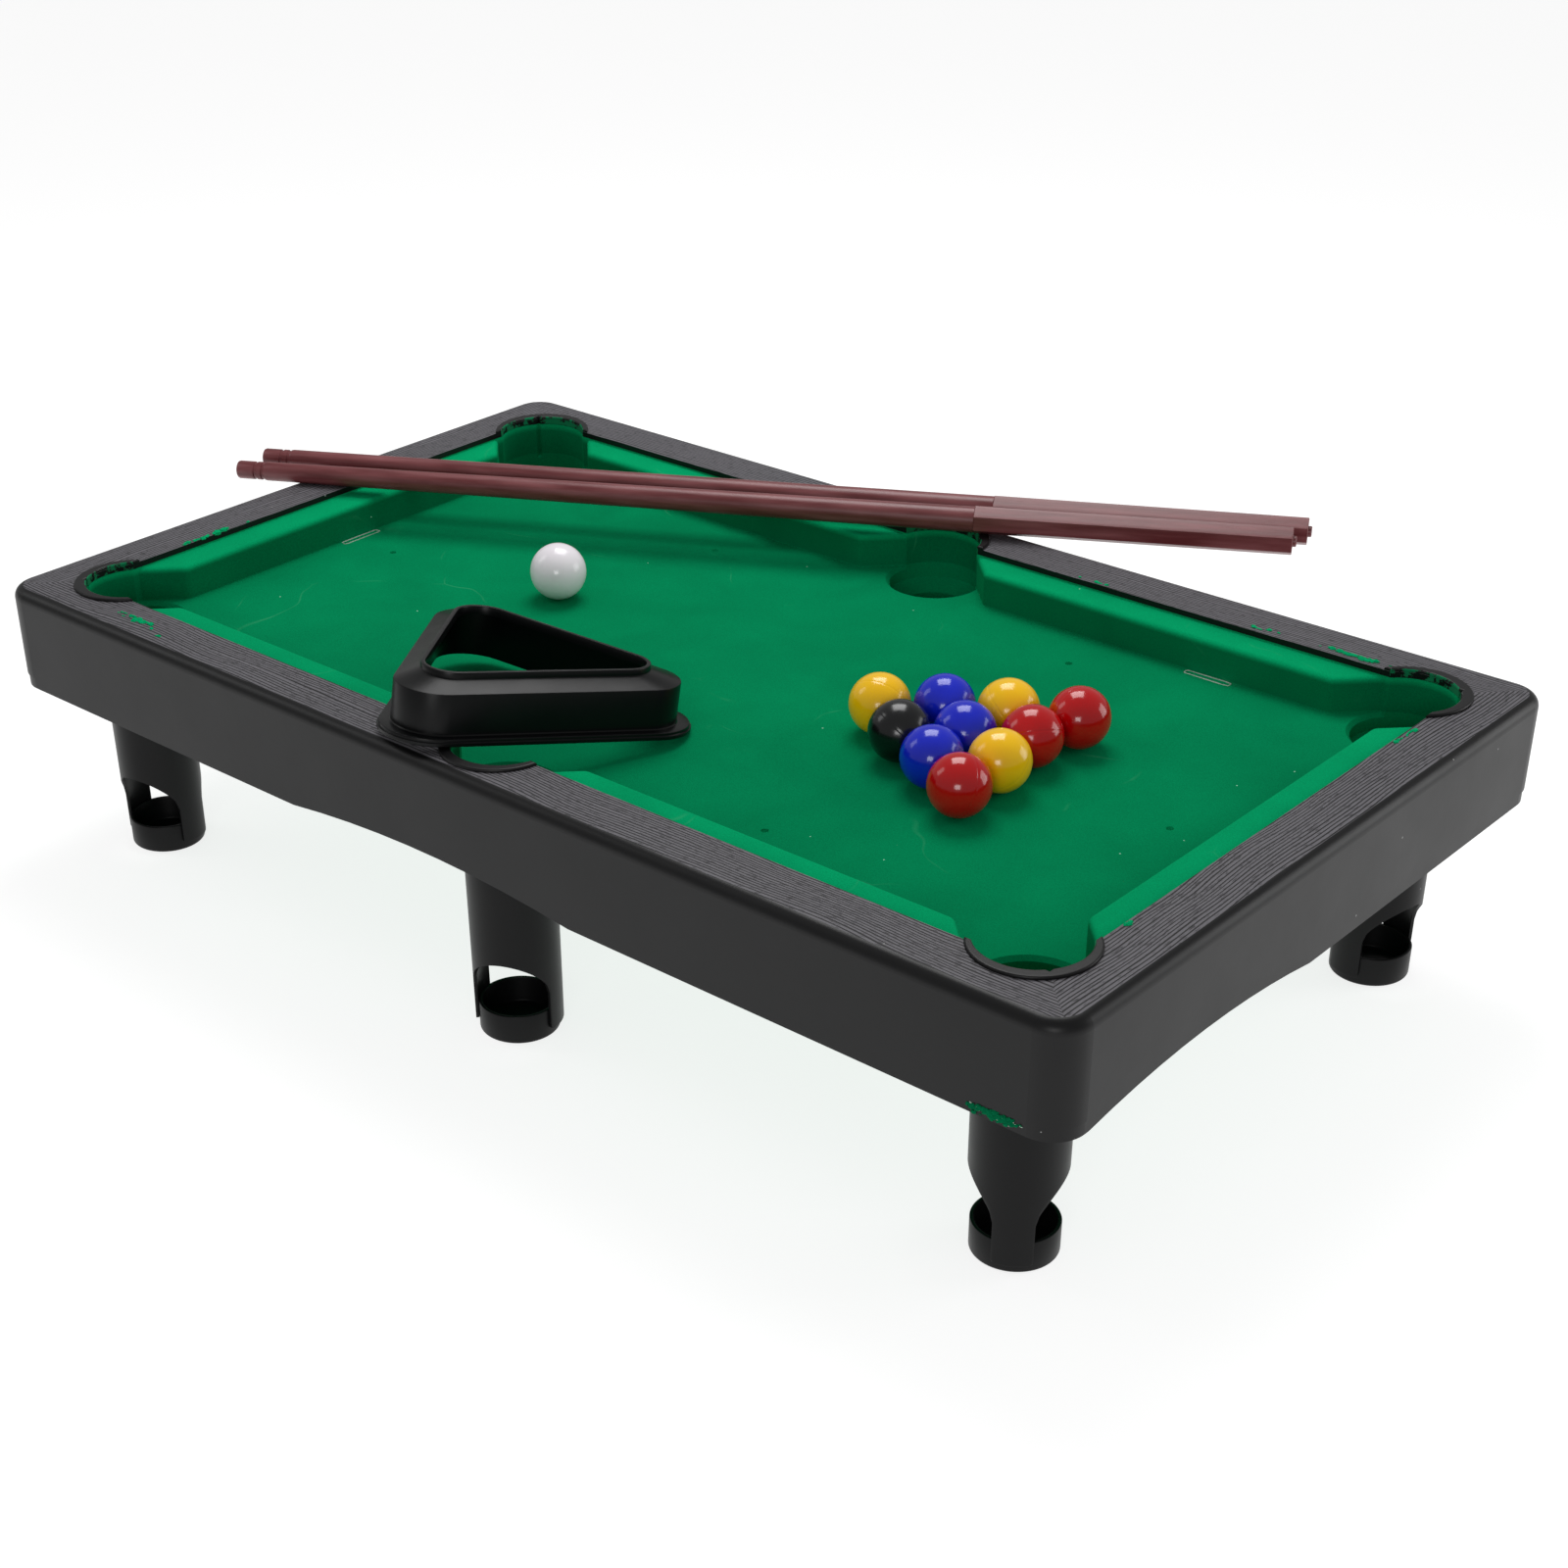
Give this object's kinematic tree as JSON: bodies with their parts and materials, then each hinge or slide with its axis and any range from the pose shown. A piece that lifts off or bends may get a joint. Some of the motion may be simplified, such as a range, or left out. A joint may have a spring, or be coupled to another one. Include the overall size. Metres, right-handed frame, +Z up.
{
  "type": "mini pool table",
  "caption": "Tabletop pool table with a moulded rail frame, flocked bed and cushions, open pockets over tube legs with ball cups, coloured balls, a triangle rack and moulded cues.",
  "frame": {"origin": "on the floor, below the middle of the bed", "axes": "+Z up, +X along the table's length towards the racked balls, +Y from the front long side, where the rack lies, to the rear one"},
  "size_m": [0.5357, 0.371, 0.1373],
  "materials": {
    "rail_black": "moulded wood grain, satin",
    "bed_green": "green flock on moulded plastic",
    "screw_steel": "zinc plated",
    "leg_black": "satin moulded",
    "ball_white": "polished",
    "ball_yellow": "polished",
    "ball_black": "polished",
    "ball_blue": "polished",
    "ball_red": "polished",
    "cue_brown": "semi-gloss moulded",
    "rack_black": "satin moulded"
  },
  "bodies": {
    "table": {"rail_frame": "rail_black", "bed_tray": "bed_green", "tray_screws": "screw_steel", "cushion_front_left": "bed_green", "cushion_front_right": "bed_green", "cushion_rear_left": "bed_green", "cushion_rear_right": "bed_green", "cushion_left": "bed_green", "cushion_right": "bed_green", "leg_front_left": "leg_black", "leg_front_middle": "leg_black", "leg_front_right": "leg_black", "leg_rear_left": "leg_black", "leg_rear_middle": "leg_black", "leg_rear_right": "leg_black", "cup_front_left": "leg_black", "cup_front_middle": "leg_black", "cup_front_right": "leg_black", "cup_rear_left": "leg_black", "cup_rear_middle": "leg_black", "cup_rear_right": "leg_black"},
    "rack": {"rack": "rack_black"},
    "cue_front": {"cue_front": "cue_brown"},
    "cue_rear": {"cue_rear": "cue_brown"},
    "ball_cue": {"ball_cue": "ball_white"},
    "ball_yellow_1": {"ball_yellow_1": "ball_yellow"},
    "ball_black": {"ball_black": "ball_black"},
    "ball_blue_1": {"ball_blue_1": "ball_blue"},
    "ball_blue_2": {"ball_blue_2": "ball_blue"},
    "ball_blue_3": {"ball_blue_3": "ball_blue"},
    "ball_yellow_2": {"ball_yellow_2": "ball_yellow"},
    "ball_red_1": {"ball_red_1": "ball_red"},
    "ball_yellow_3": {"ball_yellow_3": "ball_yellow"},
    "ball_red_2": {"ball_red_2": "ball_red"},
    "ball_red_3": {"ball_red_3": "ball_red"}
  },
  "joints": [
    {"name": "rack_lift", "type": "slide", "parent": "table", "child": "rack", "axis": [0, 0, 1], "range_m": [0, 0.03]},
    {"name": "cue_front_lift", "type": "slide", "parent": "table", "child": "cue_front", "axis": [0, 0, 1], "range_m": [0, 0.03]},
    {"name": "cue_rear_lift", "type": "slide", "parent": "table", "child": "cue_rear", "axis": [0, 0, 1], "range_m": [0, 0.03]},
    {"name": "ball_cue_lift", "type": "slide", "parent": "table", "child": "ball_cue", "axis": [0, 0, 1], "range_m": [0, 0.025]},
    {"name": "ball_yellow_1_lift", "type": "slide", "parent": "table", "child": "ball_yellow_1", "axis": [0, 0, 1], "range_m": [0, 0.025]},
    {"name": "ball_black_lift", "type": "slide", "parent": "table", "child": "ball_black", "axis": [0, 0, 1], "range_m": [0, 0.025]},
    {"name": "ball_blue_1_lift", "type": "slide", "parent": "table", "child": "ball_blue_1", "axis": [0, 0, 1], "range_m": [0, 0.025]},
    {"name": "ball_blue_2_lift", "type": "slide", "parent": "table", "child": "ball_blue_2", "axis": [0, 0, 1], "range_m": [0, 0.025]},
    {"name": "ball_blue_3_lift", "type": "slide", "parent": "table", "child": "ball_blue_3", "axis": [0, 0, 1], "range_m": [0, 0.025]},
    {"name": "ball_yellow_2_lift", "type": "slide", "parent": "table", "child": "ball_yellow_2", "axis": [0, 0, 1], "range_m": [0, 0.025]},
    {"name": "ball_red_1_lift", "type": "slide", "parent": "table", "child": "ball_red_1", "axis": [0, 0, 1], "range_m": [0, 0.025]},
    {"name": "ball_yellow_3_lift", "type": "slide", "parent": "table", "child": "ball_yellow_3", "axis": [0, 0, 1], "range_m": [0, 0.025]},
    {"name": "ball_red_2_lift", "type": "slide", "parent": "table", "child": "ball_red_2", "axis": [0, 0, 1], "range_m": [0, 0.025]},
    {"name": "ball_red_3_lift", "type": "slide", "parent": "table", "child": "ball_red_3", "axis": [0, 0, 1], "range_m": [0, 0.025]}
  ]
}
